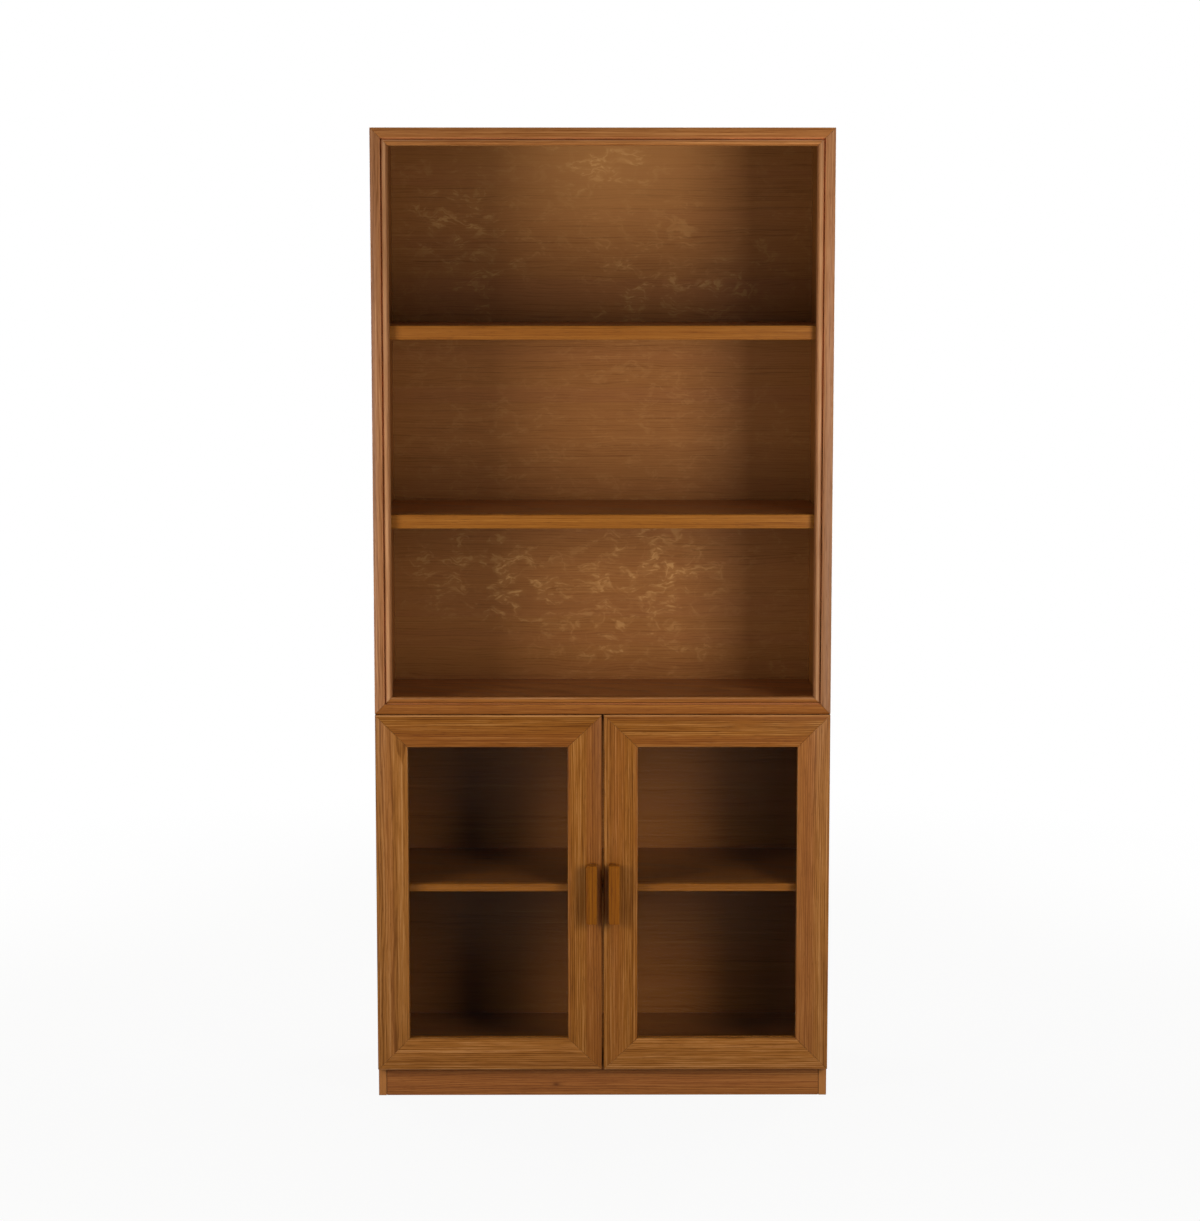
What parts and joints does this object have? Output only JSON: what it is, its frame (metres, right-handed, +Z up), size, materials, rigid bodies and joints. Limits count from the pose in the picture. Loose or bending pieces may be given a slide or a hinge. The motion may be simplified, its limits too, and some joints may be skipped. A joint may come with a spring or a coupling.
{
  "type": "glass-door bookcase",
  "caption": "Tall wooden bookcase: open shelves inside a mitred moulded frame, on a cabinet with framed glass doors that swing on concealed hinges.",
  "frame": {"origin": "on the floor, under the middle of the whole box with the pulls included", "axes": "+Z up, the front with the doors faces -Y, +X to the right as seen from the front"},
  "size_m": [0.914, 0.4108, 1.954],
  "materials": {
    "frame_wood": "satin stained moulding",
    "case_wood": "satin stained veneer",
    "back_veneer": "satin figured veneer",
    "door_wood": "satin stained frame",
    "lipping_wood": "satin stained edge",
    "plinth_wood": "satin stained rail",
    "pull_wood": "satin stained pull",
    "clear_glass": "clear float glass",
    "steel": "nickel-plated steel",
    "brown_plastic": "moulded plastic"
  },
  "bodies": {
    "case": {"cabinet_left_side": "case_wood", "cabinet_right_side": "case_wood", "cabinet_bottom": "case_wood", "cabinet_top": "case_wood", "cabinet_back": "back_veneer", "plinth_front_rail": "plinth_wood", "plinth_rear_rail": "plinth_wood", "cabinet_shelf": "case_wood", "cabinet_shelf_lipping": "lipping_wood", "cabinet_shelf_pin_left_front": "steel", "cabinet_shelf_pin_left_rear": "steel", "cabinet_shelf_pin_right_front": "steel", "cabinet_shelf_pin_right_rear": "steel", "hutch_left_side": "case_wood", "hutch_right_side": "case_wood", "hutch_top": "case_wood", "hutch_bottom": "case_wood", "hutch_back": "back_veneer", "hutch_frame_top": "frame_wood", "hutch_frame_bottom": "frame_wood", "hutch_frame_left": "frame_wood", "hutch_frame_right": "frame_wood", "hutch_lower_shelf": "case_wood", "hutch_lower_shelf_lipping": "lipping_wood", "hutch_lower_shelf_pin_left_front": "steel", "hutch_lower_shelf_pin_left_rear": "steel", "hutch_lower_shelf_pin_right_front": "steel", "hutch_lower_shelf_pin_right_rear": "steel", "hutch_upper_shelf": "case_wood", "hutch_upper_shelf_lipping": "lipping_wood", "hutch_upper_shelf_pin_left_front": "steel", "hutch_upper_shelf_pin_left_rear": "steel", "hutch_upper_shelf_pin_right_front": "steel", "hutch_upper_shelf_pin_right_rear": "steel", "left_door_lower_hinge_arm": "steel", "left_door_upper_hinge_arm": "steel", "right_door_lower_hinge_arm": "steel", "right_door_upper_hinge_arm": "steel", "left_door_magnet_catch": "brown_plastic", "right_door_magnet_catch": "brown_plastic"},
    "left_door": {"left_door_top_rail": "door_wood", "left_door_bottom_rail": "door_wood", "left_door_hinge_stile": "door_wood", "left_door_meeting_stile": "door_wood", "left_door_glass": "clear_glass", "left_door_glazing_bead": "door_wood", "left_door_pull": "pull_wood", "left_door_lower_hinge_cup": "steel", "left_door_upper_hinge_cup": "steel", "left_door_strike_plate": "steel"},
    "right_door": {"right_door_top_rail": "door_wood", "right_door_bottom_rail": "door_wood", "right_door_hinge_stile": "door_wood", "right_door_meeting_stile": "door_wood", "right_door_glass": "clear_glass", "right_door_glazing_bead": "door_wood", "right_door_pull": "pull_wood", "right_door_lower_hinge_cup": "steel", "right_door_upper_hinge_cup": "steel", "right_door_strike_plate": "steel"}
  },
  "joints": [
    {"name": "left_door_hinge", "type": "hinge", "parent": "case", "child": "left_door", "pos_m": [-0.449, -0.1651, 0.425], "axis": [0, 0, -1], "range_deg": [0, 95]},
    {"name": "right_door_hinge", "type": "hinge", "parent": "case", "child": "right_door", "pos_m": [0.449, -0.1651, 0.425], "axis": [0, 0, 1], "range_deg": [0, 95]}
  ]
}
